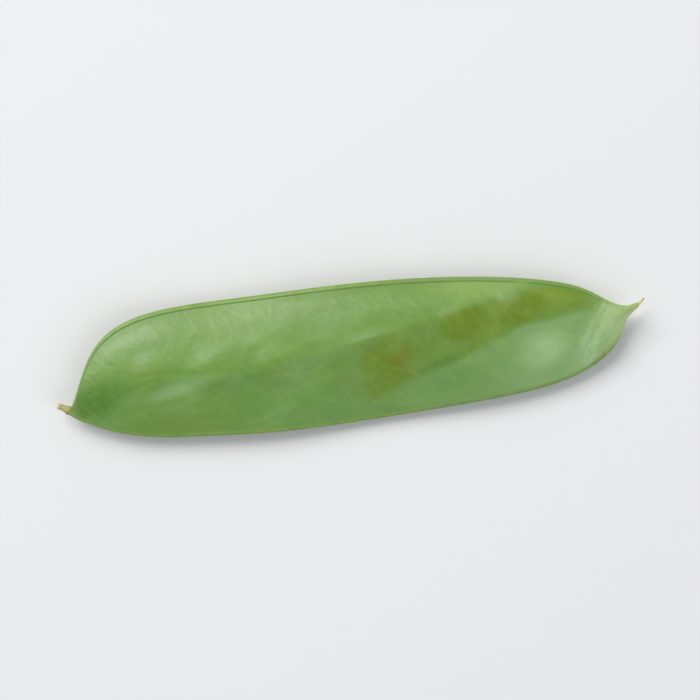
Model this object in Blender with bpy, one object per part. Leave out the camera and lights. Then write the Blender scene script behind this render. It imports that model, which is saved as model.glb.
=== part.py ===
"""Snow pea pod, as picked: one flat legume that lies on one of its two valves.

Run it with blender --background --python part.py, or from Blender's text editor. Lengths are in
millimetres, and MM turns them into Blender's metres. The pod is drawn in pod coordinates: x runs
along the line that joins its two tips, from the stem end to the beak, y points to the ventral
suture, the edge that carries the seeds, and z is up. An empty then carries the whole pod to the
origin, so that it lies on z = 0 with its box centred over it.
"""

import math

import bmesh
import bpy
import numpy as np
from mathutils import Vector

MM = 0.001
GAP = 0.3

# Plan outline: matching points on the two sutures, from the neck at the stem end to the beak. The
# stations that cut across it are partly evenly spaced and partly bunched towards the two ends.
VENTRAL_SUTURE = [
    (1.75, -0.35), (2.6, 1.1), (4.3, 4.4), (7.2, 8.3), (12.0, 10.9), (19.0, 11.8), (30.0, 11.4),
    (44.0, 10.6), (57.0, 9.3), (68.0, 7.4), (76.0, 5.3), (81.2, 3.0), (84.3, 0.6), (86.5, -0.6),
    (88.2, -0.5),
]
DORSAL_SUTURE = [
    (0.95, -1.25), (2.1, -2.2), (4.0, -3.4), (7.0, -5.0), (12.0, -6.8), (19.5, -8.2), (31.0, -9.7),
    (45.0, -10.5), (59.0, -10.8), (70.0, -10.7), (77.0, -9.8), (81.9, -7.9), (85.0, -5.2),
    (86.8, -2.8), (88.5, -1.2),
]
EVENLY_SPACED = 0.6

# The rims in which the two valves meet. The ventral one is a thick double rib with a groove, which
# fades out where the pod narrows. At the ends both rims take at most a share of the pod's width,
# and their half thickness another.
VENTRAL_RIM_WIDTH = 0.95
VENTRAL_RIM_HALF_THICKNESS = 0.85
VENTRAL_GROOVE = 0.22
VENTRAL_GROOVE_ANGLE = math.radians(28)
GROOVE_FADES = (3.0, 8.0)
DORSAL_RIM_WIDTH = 0.6
DORSAL_RIM_HALF_THICKNESS = 0.55
RIM_WIDTH_SHARE = 0.3
RIM_HALF_THICKNESS_SHARE = 0.48

# The valves: a low crown with a soft crest from tip to tip, over a row of flat seeds, and a shallow
# valley beside the ventral rim. Crown and valley fade out where the pod narrows.
CROWN = 1.5
CROWN_WIDTH = 20.0
CROWN_FADES_AT = 1.5
CREST_SOFTNESS = 0.12
CREST_PLACE = 0.54
VALLEY_DEPTH = 0.2
VALLEY_PLACE = 1.9
VALLEY_WIDTH = 0.7
VALLEY_FADES = (4.0, 12.0)
FIRST_SEED_X = 15.5
SEED_PITCH = 9.4
SEED_COUNT = 7
SEED_PLACE = 0.57
SEED_RADIUS = 4.4
UPPER_VALVE = {"dome_power": 2.0, "crest_share": 0.35, "seed_relief": 0.7}
LOWER_VALVE = {"dome_power": 2.8, "crest_share": 0.0, "seed_relief": 0.25}

# How the pod lies: both ends rise from the surface, it twists a little and leans to its dorsal
# edge, which puts its weight over its resting face, and its sutures wave up and down in turn.
MIDDLE_X = 44.0
HALF_LENGTH = 44.0
STEM_END_LIFT = 0.7
BEAK_LIFT = 1.3
LIFT_POWER = 2.6
TWIST = math.radians(3.0)
LEAN = math.radians(1.6)
EDGE_WAVE = 0.3
EDGE_WAVE_PITCH = 37.0
EDGE_WAVE_REACH = 10.0

# The resting face, a strip of the underside that is pressed flat: how deep, from where to where
# along the pod, and how many of the lower valve's points across. The rest of the pod clears the
# surface, and the strip's long sides are slightly hollow, so that it bears on its four corners.
RESTING_DEPTH = 0.38
RESTING_SPAN = (22.0, 61.0)
RESTING_POINTS = 4
RESTING_CLEARANCE = 0.08
RESTING_HOLLOW = 0.06

# Mesh density, and how many stations lie between an end section and the one that shows which way
# is inwards.
STATIONS = 84
RIM_POINTS = 5
VALVE_POINTS = 12
END_STATIONS = 5

# The snapped stem and the withered style, each a short tapering stalk on one end of the pod.
STEM_STUB_LENGTH = 1.9
STEM_STUB_RADII = (0.6, 0.52, 0.46, 0.42)
STEM_STUB_TURN = math.radians(14)
STYLE_LENGTH = 1.4
STYLE_RADII = (0.3, 0.25, 0.18, 0.1)
STYLE_TURN = math.radians(16)
STALK_POINTS = 7

POD_GREEN = (0.19, 0.36, 0.085)
STUB_TAN = (0.42, 0.33, 0.17)
STYLE_STRAW = (0.45, 0.3, 0.13)


def clear_scene():
    for obj in list(bpy.data.objects):
        bpy.data.objects.remove(obj, do_unlink=True)


def material(name, colour, roughness):
    made = bpy.data.materials.new(name)
    made.use_nodes = True
    shader = made.node_tree.nodes["Principled BSDF"]
    shader.inputs["Base Color"].default_value = (*colour, 1.0)
    shader.inputs["Roughness"].default_value = roughness
    shader.inputs["Metallic"].default_value = 0.0
    made.diffuse_color = (*colour, 1.0)
    return made


def natural_spline(knots, values, at):
    """Values at the parameters `at` of the natural cubic spline through (knots, values)."""
    step = np.diff(knots)
    slope = np.diff(values, axis=0) / step[:, None]
    count = len(knots)
    system = np.eye(count)
    right = np.zeros_like(values)
    for i in range(1, count - 1):
        system[i, i - 1 : i + 2] = step[i - 1], 2 * (step[i - 1] + step[i]), step[i]
        right[i] = 6 * (slope[i] - slope[i - 1])
    bend = np.linalg.solve(system, right)
    i = np.clip(np.searchsorted(knots, at) - 1, 0, count - 2)
    h = step[i][:, None]
    before = (at - knots[i])[:, None]
    after = h - before
    ends = bend[i] * after**3 + bend[i + 1] * before**3
    line = (values[i] / h - bend[i] * h / 6) * after + (values[i + 1] / h - bend[i + 1] * h / 6) * before
    return ends / (6 * h) + line


def suture_points(count):
    """Matching points on the two sutures, `count` of each, closer together towards the ends."""
    ventral = np.array(VENTRAL_SUTURE)
    dorsal = np.array(DORSAL_SUTURE)
    ventral_chords = np.linalg.norm(np.diff(ventral, axis=0), axis=1)
    dorsal_chords = np.linalg.norm(np.diff(dorsal, axis=0), axis=1)
    knots = np.concatenate([[0.0], np.cumsum((ventral_chords + dorsal_chords) / 2)])
    even = np.linspace(0, 1, count)
    bunched = (1 - np.cos(math.pi * even)) / 2
    at = (EVENLY_SPACED * even + (1 - EVENLY_SPACED) * bunched) * knots[-1]
    return natural_spline(knots, ventral, at), natural_spline(knots, dorsal, at)


def smooth_step(low, high, value):
    share = np.clip((value - low) / (high - low), 0, 1)
    return share * share * (3 - 2 * share)


def seed_relief(along, place):
    """0 to 1: how far the wall stands up over the seeds, at x = along and a share of the width."""
    relief = np.zeros_like(place)
    for i in range(SEED_COUNT):
        seed_x = FIRST_SEED_X + i * SEED_PITCH
        off = np.hypot(along - seed_x, (place - SEED_PLACE) * CROWN_WIDTH)
        relief = np.maximum(relief, np.clip(1 - (off / SEED_RADIUS) ** 2, 0, 1) ** 2)
    return relief


def valve_height(valve, width, rims, place, along):
    """Half thickness of the pod at a share `place` of the way from the dorsal rim to the ventral."""
    dorsal_rim, ventral_rim = rims
    crest = valve["crest_share"]
    reach = np.where(place < CREST_PLACE, CREST_PLACE, 1 - CREST_PLACE)
    off_crest = (place - CREST_PLACE) / reach
    dome = 1 - np.abs(off_crest) ** valve["dome_power"]
    soft = CREST_SOFTNESS
    tent = 1 - (np.sqrt(off_crest**2 + soft**2) - soft) / (math.sqrt(1 + soft**2) - soft)
    crown = CROWN * smooth_step(CROWN_FADES_AT, CROWN_WIDTH, width)
    crown = crown * ((1 - crest) * dome + crest * tent)
    to_ventral = (1 - place) * width + VENTRAL_RIM_WIDTH
    valley = VALLEY_DEPTH * np.exp(-(((to_ventral - VALLEY_PLACE) / VALLEY_WIDTH) ** 2))
    valley = valley * smooth_step(*VALLEY_FADES, width)
    rim = dorsal_rim + (ventral_rim - dorsal_rim) * smooth_step(0, 1, place)
    return rim + crown - valley + valve["seed_relief"] * seed_relief(along, place)


def pod_sections(ventral, dorsal):
    """Every station's closed ring of points, as an array of (stations, ring points, 3)."""
    across = ventral - dorsal
    width = np.linalg.norm(across, axis=1)[:, None]
    direction = across[:, None, :] / width[:, :, None]
    ventral_width = np.minimum(VENTRAL_RIM_WIDTH, width * RIM_WIDTH_SHARE)
    dorsal_width = np.minimum(DORSAL_RIM_WIDTH, width * RIM_WIDTH_SHARE)
    ventral_half = np.minimum(VENTRAL_RIM_HALF_THICKNESS, width * RIM_HALF_THICKNESS_SHARE)
    dorsal_half = np.minimum(DORSAL_RIM_HALF_THICKNESS, width * RIM_HALF_THICKNESS_SHARE)
    turn = np.linspace(math.pi / 2, -math.pi / 2, RIM_POINTS)[None, :]
    groove = VENTRAL_GROOVE * np.exp(-((turn / VENTRAL_GROOVE_ANGLE) ** 2))
    groove = groove * smooth_step(*GROOVE_FADES, width)
    ventral_out = width - ventral_width * (1 - np.cos(turn)) - groove
    dorsal_out = dorsal_width * (1 - np.cos(turn))
    steps = np.arange(1, VALVE_POINTS + 1) / (VALVE_POINTS + 1)
    place = np.broadcast_to(((1 - np.cos(math.pi * steps)) / 2)[None, :], (len(width), VALVE_POINTS))
    valve_width = width - ventral_width - dorsal_width
    valve_out = dorsal_width + place * valve_width
    along = dorsal[:, None, 0] + direction[..., 0] * valve_out
    rims = (dorsal_half, ventral_half)
    upper = valve_height(UPPER_VALVE, valve_width, rims, place, along)
    lower = valve_height(LOWER_VALVE, valve_width, rims, place, along)
    out = np.concatenate([valve_out, ventral_out, valve_out[:, ::-1], dorsal_out[:, ::-1]], axis=1)
    height = np.concatenate(
        [upper, ventral_half * np.sin(turn), -lower[:, ::-1], dorsal_half * np.sin(turn[:, ::-1])], axis=1
    )
    plan = dorsal[:, None, :] + direction * out[:, :, None]
    return np.concatenate([plan, (height + lie(plan[..., 0], plan[..., 1]))[:, :, None]], axis=2)


def lie(x, y):
    """Height of the pod's middle surface, which lifts towards both ends, leans, twists and waves."""
    off = (x - MIDDLE_X) / HALF_LENGTH
    lift = np.where(off < 0, STEM_END_LIFT, BEAK_LIFT) * np.abs(off) ** LIFT_POWER
    wave = EDGE_WAVE * np.sin(2 * math.pi * x / EDGE_WAVE_PITCH) * y * np.abs(y) / EDGE_WAVE_REACH**2
    return lift + y * (math.tan(TWIST) * off + math.tan(LEAN)) + wave


def press_flat(rings):
    """Makes the resting face, in place: the middle points of the lower valve, over its span."""
    along = rings[..., 0].mean(axis=1)
    first, last = np.searchsorted(along, RESTING_SPAN)
    side = VALVE_POINTS + RIM_POINTS + (VALVE_POINTS - RESTING_POINTS) // 2
    strip = rings[first:last, side : side + RESTING_POINTS]
    floor = rings[..., 2].min() + RESTING_DEPTH
    rings[..., 2] = np.maximum(rings[..., 2], floor + RESTING_CLEARANCE)
    strip[..., 2] = floor
    for edge, inwards in ((strip[:, 0], -1), (strip[:, -1], 1)):
        share = (edge[:, 0] - edge[0, 0]) / (edge[-1, 0] - edge[0, 0])
        straight = edge[0, 1] + share * (edge[-1, 1] - edge[0, 1])
        edge[:, 1] = straight + inwards * RESTING_HOLLOW * 4 * share * (1 - share)


def mesh_object(name, rings, skin):
    """A closed body through rings of points, with a flat cap on the first and the last."""
    shape = bmesh.new()
    loops = [[shape.verts.new(Vector(point) * MM) for point in ring] for ring in rings]
    for before, after in zip(loops, loops[1:]):
        for i in range(len(before)):
            j = (i + 1) % len(before)
            shape.faces.new((before[i], before[j], after[j], after[i]))
    shape.faces.new(loops[0])
    shape.faces.new(loops[-1])
    bmesh.ops.recalc_face_normals(shape, faces=shape.faces)
    mesh = bpy.data.meshes.new(name)
    shape.to_mesh(mesh)
    shape.free()
    mesh.shade_smooth()
    mesh.materials.append(skin)
    obj = bpy.data.objects.new(name, mesh)
    bpy.context.collection.objects.link(obj)
    return obj


def make_pod(ventral, dorsal):
    """Both valves, their sutures and the beak, which grew as one."""
    rings = pod_sections(ventral, dorsal)
    press_flat(rings)
    return mesh_object("pod", rings, material("pod_skin", POD_GREEN, 0.45))


def make_stalk(name, root, heading, turn, length, radii, skin):
    """A short stalk that leaves `root` along `heading`, bends by `turn` and tapers."""
    shares = np.linspace(0, 1, STALK_POINTS)
    thickness = np.interp(shares, np.linspace(0, 1, len(radii)), radii)
    curve = bpy.data.curves.new(name, "CURVE")
    curve.dimensions = "3D"
    curve.bevel_depth = MM
    curve.bevel_resolution = 3
    curve.use_fill_caps = True
    spline = curve.splines.new("POLY")
    spline.points.add(STALK_POINTS - 1)
    point = Vector(root)
    for share, radius, knot in zip(shares, thickness, spline.points):
        knot.co = (*(point * MM), 1.0)
        knot.radius = radius
        angle = heading + turn * share
        point = point + Vector((math.cos(angle), math.sin(angle), 0)) * length / (STALK_POINTS - 1)
    spline.use_smooth = True
    curve.materials.append(skin)
    obj = bpy.data.objects.new(name, curve)
    bpy.context.collection.objects.link(obj)
    return obj


def end_of(ventral, dorsal, end, inner):
    """A point just outside the middle of the end section, and the way out of the pod there."""
    middle = (ventral[end] + dorsal[end]) / 2
    inwards = (ventral[inner] + dorsal[inner]) / 2 - middle
    across = ventral[end] - dorsal[end]
    normal = np.array([across[1], -across[0]])
    if normal @ inwards > 0:
        normal = -normal
    heading = math.atan2(normal[1], normal[0])
    root = middle + GAP * normal / np.linalg.norm(normal)
    return (*root, float(lie(middle[0], middle[1]))), heading


def make_stem_stub(ventral, dorsal):
    root, heading = end_of(ventral, dorsal, 0, END_STATIONS)
    skin = material("stub_bark", STUB_TAN, 0.8)
    length = STEM_STUB_LENGTH - GAP
    return make_stalk("stem_stub", root, heading, STEM_STUB_TURN, length, STEM_STUB_RADII, skin)


def make_dried_style(ventral, dorsal):
    root, heading = end_of(ventral, dorsal, -1, -1 - END_STATIONS)
    skin = material("style_straw", STYLE_STRAW, 0.7)
    length = STYLE_LENGTH - GAP
    return make_stalk("dried_style", root, heading, STYLE_TURN, length, STYLE_RADII, skin)


def settle(pieces):
    """Parents the pieces to an empty that puts the bottom centre of their box at the origin."""
    carrier = bpy.data.objects.new("pod_frame", None)
    bpy.context.collection.objects.link(carrier)
    bpy.context.view_layer.update()
    graph = bpy.context.evaluated_depsgraph_get()
    corners = []
    for piece in pieces:
        evaluated = piece.evaluated_get(graph)
        corners += [vertex.co.copy() for vertex in evaluated.to_mesh().vertices]
        evaluated.to_mesh_clear()
        piece.parent = carrier
    low = Vector(min(corner[i] for corner in corners) for i in range(3))
    high = Vector(max(corner[i] for corner in corners) for i in range(3))
    carrier.location = (-(low.x + high.x) / 2, -(low.y + high.y) / 2, -low.z)


def main():
    clear_scene()
    ventral, dorsal = suture_points(STATIONS)
    pieces = [make_pod(ventral, dorsal), make_stem_stub(ventral, dorsal), make_dried_style(ventral, dorsal)]
    settle(pieces)


main()
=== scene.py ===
import math

import bmesh
import bpy
import numpy as np
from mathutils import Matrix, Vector


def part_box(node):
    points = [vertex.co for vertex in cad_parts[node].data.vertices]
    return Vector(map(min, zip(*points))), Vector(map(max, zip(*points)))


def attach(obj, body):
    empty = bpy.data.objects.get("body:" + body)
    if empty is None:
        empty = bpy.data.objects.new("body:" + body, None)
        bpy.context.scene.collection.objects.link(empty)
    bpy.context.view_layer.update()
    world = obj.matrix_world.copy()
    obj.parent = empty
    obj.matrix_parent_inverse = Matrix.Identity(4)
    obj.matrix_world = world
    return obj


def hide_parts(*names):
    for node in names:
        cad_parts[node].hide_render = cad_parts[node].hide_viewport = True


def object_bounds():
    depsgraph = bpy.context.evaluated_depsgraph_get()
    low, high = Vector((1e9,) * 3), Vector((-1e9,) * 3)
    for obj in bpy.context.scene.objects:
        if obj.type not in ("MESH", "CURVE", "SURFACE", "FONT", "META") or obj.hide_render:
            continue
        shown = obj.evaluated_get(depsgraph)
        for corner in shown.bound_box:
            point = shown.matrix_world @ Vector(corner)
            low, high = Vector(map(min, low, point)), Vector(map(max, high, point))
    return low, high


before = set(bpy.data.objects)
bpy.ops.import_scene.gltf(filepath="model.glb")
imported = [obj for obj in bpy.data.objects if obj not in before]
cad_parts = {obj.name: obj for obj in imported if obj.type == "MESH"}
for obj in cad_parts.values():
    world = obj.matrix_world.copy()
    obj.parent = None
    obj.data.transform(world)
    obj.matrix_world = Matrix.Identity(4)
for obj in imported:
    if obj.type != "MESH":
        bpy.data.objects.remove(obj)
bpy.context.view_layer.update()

# Lengths of the pod are in millimetres, in pod coordinates: x runs along the line that joins its two
# tips, from the stem end to the beak, y points to the ventral suture, which carries the seeds, and z
# is up. MM turns them into metres, and make_pod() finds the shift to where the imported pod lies.
MM = 0.001

# Plan outline: matching points on the two sutures, from the neck at the stem end to the beak.
VENTRAL_SUTURE = [
    (1.75, -0.35), (2.6, 1.1), (4.3, 4.4), (7.2, 8.3), (12.0, 10.9), (19.0, 11.8), (30.0, 11.4),
    (44.0, 10.6), (57.0, 9.3), (68.0, 7.4), (76.0, 5.3), (81.2, 3.0), (84.3, 0.6), (86.5, -0.6),
    (88.2, -0.5),
]
DORSAL_SUTURE = [
    (0.95, -1.25), (2.1, -2.2), (4.0, -3.4), (7.0, -5.0), (12.0, -6.8), (19.5, -8.2), (31.0, -9.7),
    (45.0, -10.5), (59.0, -10.8), (70.0, -10.7), (77.0, -9.8), (81.9, -7.9), (85.0, -5.2),
    (86.4, -2.75), (88.5, -1.2),
]

# Mesh density: stations along the pod, and points round each of them. EVEN_SHARE of the spacing of
# the stations is even, and the rest draws them together at the pod's ends.
STATIONS = 560
EVEN_SHARE = 0.6
RIM_POINTS = 13
UPPER_POINTS = 96
LOWER_POINTS = 38

# The rims in which the two valves meet. The ventral one is a thick double rib with a groove, which
# fades out where the pod is narrow. Near the tips a rim is no more than a share of the pod's width.
VENTRAL_RIM_WIDTH = 0.95
VENTRAL_RIM_HALF_THICKNESS = 0.85
VENTRAL_GROOVE = 0.32
VENTRAL_GROOVE_ANGLE = math.radians(20)
GROOVE_FADES = (3.0, 8.0)
DORSAL_RIM_WIDTH = 0.6
DORSAL_RIM_HALF_THICKNESS = 0.55
RIM_WIDTH_SHARE = 0.3
RIM_HALF_THICKNESS_SHARE = 0.48

# The valves: a low crown, and a shallow, slightly uneven valley beside the ventral rim. The crown is
# highest at CROWN_PLACE of the way from the dorsal rim to the ventral one. It begins where the valve
# is CROWN_FADES_AT wide, and is full where it is CROWN_WIDTH wide.
CROWN = 1.5
CROWN_WIDTH = 20.0
CROWN_FADES_AT = 1.5
CROWN_PLACE = 0.54
VALLEY_DEPTH = 0.08
VALLEY_PLACE = 1.9
VALLEY_WIDTH = 0.9
VALLEY_FADES = (4.0, 12.0)
VALLEY_UNEVENNESS = 0.25
VALLEY_UNEVENNESS_SIZE = 7.0
VALLEY_RANDOM = 3
UPPER_VALVE = {"dome_power": 2.0, "seed_relief": 0.34, "points": UPPER_POINTS, "random": 11}
LOWER_VALVE = {"dome_power": 2.8, "seed_relief": 0.2, "points": LOWER_POINTS, "random": 41}

# The row of flat seeds, which lies along a line of its own.
FIRST_SEED_X = 14.5
SEED_PITCH = 9.4
SEED_COUNT = 7
SEED_RADIUS = 4.4
SEED_ROW = [(14.0, 1.8), (34.0, -0.6), (51.0, -2.0), (61.5, 0.8), (71.0, 2.0)]

# Lines along which the upper valve's shape and colour change, from the stem end to the beak: the fold,
# above which the wall is full and smooth, and the lower side of the hollow that lies beneath it.
FOLD = [
    (4.0, 1.0), (15.0, 2.0), (24.0, 0.5), (36.0, 0.7), (47.0, 1.6), (57.0, 2.8), (66.0, 3.8),
    (75.0, 4.4), (83.0, 1.4),
]
HOLLOW = [
    (43.0, -9.0), (48.7, -7.3), (53.0, -5.6), (59.4, -4.2), (65.1, -2.3), (70.0, -0.9), (79.0, -0.1),
    (84.0, 0.2),
]

# The relief along those lines. Each _ENDS holds the four places that between() takes.
FOLD_RISE = 0.5
FOLD_ABOVE = 5.0
FOLD_BELOW = 1.7
FOLD_ENDS = (6.0, 20.0, 55.0, 73.0)
FOLD_MARGINS = (0.14, 0.2)
BRINK_RISE = 0.12
BRINK_WIDTH = 1.3
BRINK_ENDS = (45.0, 54.0, 74.0, 84.0)
CREASE_DEPTH = 0.09
CREASE_WIDTH = 0.35
CREASE_ENDS = (10.0, 14.0, 24.0, 34.0)

# How the pod lies: both ends rise from the surface, it twists a little, its sutures wave up and
# down in turn, and its underside is pressed flat where it rests.
MIDDLE_X = 44.0
HALF_LENGTH = 44.0
STEM_END_LIFT = 0.7
BEAK_LIFT = 1.3
LIFT_POWER = 2.6
TWIST = math.radians(3.0)
LEAN = math.radians(1.6)
EDGE_WAVE = 0.3
EDGE_WAVE_PITCH = 37.0
EDGE_WAVE_REACH = 10.0
RESTING_DEPTH = 0.38

# The net of veins. Its cells are longer along VEIN_SLOPE than across it, and their lines wander with
# noise of one size along it and another across it.
VEIN_SLOPE = math.radians(-52)
MAIN_VEIN_CELL = (8.5, 2.6)
FINE_VEIN_CELL = (2.6, 1.3)
VEIN_LINE_WIDTH = 0.13
VEIN_WANDER = 0.8
VEIN_WANDER_SIZES = (4.1, 4.7)
MAIN_VEIN_RELIEF = 0.019
FINE_VEIN_RELIEF = 0.010
MAIN_VEIN_TINT = 0.75
FINE_VEIN_TINT = 0.35

# The rest of the skin's fine relief. It leaves a share of the valve's width smooth beside each rim.
# Fibres run along the pod at both of its ends: a pair _FIBRES holds the x at which they begin and are
# full, and a pair _FADES the width of the pod at which a relief begins and is full.
SWELL_RELIEF = 0.06
SWELL_SIZE = 9.0
RIPPLE_RELIEF = 0.015
RIPPLE_SIZE = 2.6
SKIN_MARGINS = (0.09, 0.1)
SKIN_FADES = (3.0, 9.0)
FIBRE_RELIEF = 0.03
FIBRE_COUNT = 22
FIBRE_LENGTH = 9.0
STEM_END_FIBRES = (12.0, 3.0)
BEAK_FIBRES = (78.0, 86.0)
FIBRE_FADES = (2.0, 6.0)

# The pod's two ends close in small domes. The way out of the pod is taken over DOME_STATIONS.
DOME_BULGE = 0.5
DOME_ANGLES = [math.radians(angle) for angle in (25, 48, 66, 80)]
DOME_STATIONS = 4

# What is left of the stalk, with a collar where it grows from the pod, and the withered style. Their
# radii are at even steps from end to end, and `inset` is how deep they start inside the pod.
STUB = {
    "length": 2.2,
    "inset": 0.35,
    "radii": (0.52, 0.68, 0.6, 0.5, 0.46, 0.45, 0.44),
    "bend": math.radians(14),
    "flatness": 0.95,
    "rib_count": 9,
    "rib_depth": 0.05,
    "rings": 80,
    "points": 84,
    "random": 71,
}
STYLE = {
    "length": 1.65,
    "inset": 0.25,
    "radii": (0.31, 0.27, 0.22, 0.17, 0.1),
    "bend": math.radians(16),
    "flatness": 0.8,
    "rib_count": 5,
    "rib_depth": 0.12,
    "rings": 60,
    "points": 44,
    "random": 83,
}

# Both are lumpy, and their ribs twist and wander, with noise of STALK_NOISE_SIZE. It is read over
# STALK_NOISE_LENGTH from end to end, and over STALK_NOISE_ROUND for each radian round the stalk.
STALK_TWIST = 2.2
STALK_LUMPS = 0.07
STALK_NOISE_SIZE = 1.4
STALK_NOISE_LENGTH = 9.0
STALK_NOISE_ROUND = 1.3

# The stub's snapped end. From SNAP_STARTS of its length on it is more and more uneven, in coarse and
# fine waves: a share of SNAP_DEPTH and a count. In its middle is a hollow, SNAP_HOLLOW times as deep
# as SNAP_DEPTH, whose rings are these shares of the last ring's radius.
SNAP_DEPTH = 0.14
SNAP_STARTS = 0.75
SNAP_COARSE = (0.8, 2)
SNAP_FINE = (0.5, 5)
SNAP_HOLLOW = 1.2
SNAP_HOLLOW_RINGS = (0.72, 0.4, 0.1)
SNAP_HEADING_RINGS = 5
SNAP_RANDOM = 5

# Marks on the skin: strength, middle x and y, half length, half width, and slope in degrees. The
# shoulder is the wall between the fold and the ventral rim.
DARK_STEM_END = (1.2, 5.0, -0.5, 8.0, 4.2, 10.0)
# Painted shade that dims the key light's sheen on the shoulder.
PAINTED_SHADE_SHOULDER = (0.34, 42.5, 6.8, 9.0, 4.2, 0.0)
# Painted light on the shoulder, where the crest of the fold faces the light.
PAINTED_LIGHT_SHOULDER = (0.5, 65.5, 6.2, 13.0, 3.4, -13.0)
# Painted shadow along the lower edge of the hollow.
PAINTED_SHADOW_WEDGE = (0.7, 57.6, -4.0, 6.5, 1.3, 14.0)
GOLDEN_END = (0.5, 77.0, 3.2, 5.5, 3.0, -15.0)
RUSTY_SPOT = (0.3, 51.8, -2.1, 2.6, 2.0, 10.0)
# Painted seed shadows, darker olive over the seeds in the hollow.
SEED_SHADOWS = [
    (0.9, 49.8, -2.7, 9.4, 6.8, 4.0),
    (1.0, 62.2, 1.0, 6.2, 3.7, 5.0),
    (1.0, 71.5, 2.3, 6.0, 3.7, 0.0),
    (0.9, 78.4, 3.2, 5.5, 3.2, -20.0),
]
# A pale patch low by the beak end, then painted highlights beneath the crease and on the edge of the
# fold.
PALE_PATCH_AND_PAINTED_HIGHLIGHTS = [
    (1.0, 73.5, -4.9, 8.5, 5.6, 12.0),
    (0.55, 18.5, -0.7, 9.0, 2.0, 8.0),
    (0.42, 47.2, 1.8, 6.5, 1.9, 4.0),
]
UNRUBBED_PATCH = (0.9, 59.8, -7.3, 7.0, 3.2, 5.0)

# Stretches of the pod that are coloured alike, as the four places that between() takes.
OLIVE_STEM_END = (8.0, 14.0, 20.0, 32.0)
OLIVE_BAND = (41.0, 48.0, 78.0, 84.5)
DULL_RIMS = (48.0, 57.0, 76.0, 84.0)
RUSTY_RIM = (79.0, 81.5, 82.5, 85.5)

# The painted highlight on the facet by the beak, and the painted shade beside it, lie along a slanting
# line: x and FACET_SLANT times y.
FACET_SLANT = -0.8
FACET = (81.0, 84.0, 85.6, 88.6)
FACET_SHADE = (78.5, 81.0, 81.6, 83.0)

# How far noise moves the edges of these colours, in mm between its lowest value and its highest.
FOLD_WAVER = 1.6
HOLLOW_WAVER = -2.2
SEED_WAVER = 9.0
FACET_WAVER = 3.0

# The height of the finest relief, which is left to the shader, and how deep light goes into the skin.
SKIN_BUMP = 0.06
STALK_BUMP = 0.04
LIGHT_DEPTH = 1.2

# How the picture is taken. The lens, its sensor and the gap between the floor and the pod are in mm,
# and the other distances in metres.
POD_SLOPE = math.radians(10.6)
LENS = 100.0
SENSOR = 36.0
FRAME_SHARE = 0.86
FLOOR_REACH = 1.5
FLOOR_GAP = 0.05
FLOOR_PAINT = (0.80, 0.80, 0.81)
SKY_COLOUR = (0.95, 0.98, 1.0, 1.0)
SKY_STRENGTH = 0.36
KEY_LIGHT = {
    "azimuth": 118, "elevation": 44, "distance": 1.2, "size": 0.75, "power": 12.4,
    "tint": (1.0, 0.99, 0.97),
}
FILL_LIGHT = {
    "azimuth": -50, "elevation": 40, "distance": 1.3, "size": 1.0, "power": 5.0,
    "tint": (0.96, 0.98, 1.0),
}

# Both kinds of noise repeat after NOISE_PERIOD cells. Smooth noise is scaled to reach about 1. The
# middles of a net's cells stay NET_MARGIN away from the sides of the squares that they are drawn in.
NOISE_PERIOD = 64
NOISE_SCALE = 1.6
NET_MARGIN = 0.08


def natural_spline(knots, values, at):
    """Values at the parameters `at` of the natural cubic spline through (knots, values)."""
    step = np.diff(knots)
    slope = np.diff(values, axis=0) / step[:, None]
    count = len(knots)
    system = np.eye(count)
    right = np.zeros_like(values)
    for i in range(1, count - 1):
        system[i, i - 1 : i + 2] = step[i - 1], 2 * (step[i - 1] + step[i]), step[i]
        right[i] = 6 * (slope[i] - slope[i - 1])
    bend = np.linalg.solve(system, right)
    i = np.clip(np.searchsorted(knots, at) - 1, 0, count - 2)
    h = step[i][:, None]
    before = (at - knots[i])[:, None]
    after = h - before
    ends = bend[i] * after**3 + bend[i + 1] * before**3
    line = (values[i] / h - bend[i] * h / 6) * after + (values[i + 1] / h - bend[i + 1] * h / 6) * before
    return ends / (6 * h) + line


def smooth_step(low, high, value):
    """Rises smoothly from 0 at low to 1 at high. With low above high it falls from 1 to 0."""
    share = np.clip((value - low) / (high - low), 0, 1)
    return share * share * (3 - 2 * share)


def between(ends, x):
    """0 outside the first and the last of four places along the pod, 1 between the inner two."""
    start, full, fade, end = ends
    return smooth_step(start, full, x) * smooth_step(end, fade, x)


def smooth_noise(x, y, size, random):
    """Gradient noise from about -1 to 1 that varies over `size`, in the units of x and y."""
    shape = (NOISE_PERIOD, NOISE_PERIOD)
    angles = np.random.default_rng(random).uniform(0, 2 * math.pi, shape)
    u, v = x / size, y / size
    i, j = np.floor(u).astype(int), np.floor(v).astype(int)
    across, up = u - i, v - j

    def corner(right, top):
        angle = angles[(i + right) % NOISE_PERIOD, (j + top) % NOISE_PERIOD]
        return np.cos(angle) * (across - right) + np.sin(angle) * (up - top)

    across_share = smooth_step(0, 1, across)
    up_share = smooth_step(0, 1, up)
    low = corner(0, 0) * (1 - across_share) + corner(1, 0) * across_share
    high = corner(0, 1) * (1 - across_share) + corner(1, 1) * across_share
    return NOISE_SCALE * (low * (1 - up_share) + high * up_share)


def net_lines(u, v, width, random):
    """1 on the lines of a net of irregular cells about one unit across, falling to 0 in the cells."""
    shape = (NOISE_PERIOD, NOISE_PERIOD, 2)
    spots = np.random.default_rng(random).uniform(NET_MARGIN, 1 - NET_MARGIN, shape)
    i, j = np.floor(u).astype(int), np.floor(v).astype(int)
    reach = []
    for right in (-1, 0, 1):
        for top in (-1, 0, 1):
            spot = spots[(i + right) % NOISE_PERIOD, (j + top) % NOISE_PERIOD]
            reach.append(np.hypot(u - i - right - spot[..., 0], v - j - top - spot[..., 1]))
    reach = np.sort(np.array(reach), axis=0)
    return np.exp(-(((reach[1] - reach[0]) / width) ** 2))


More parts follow.
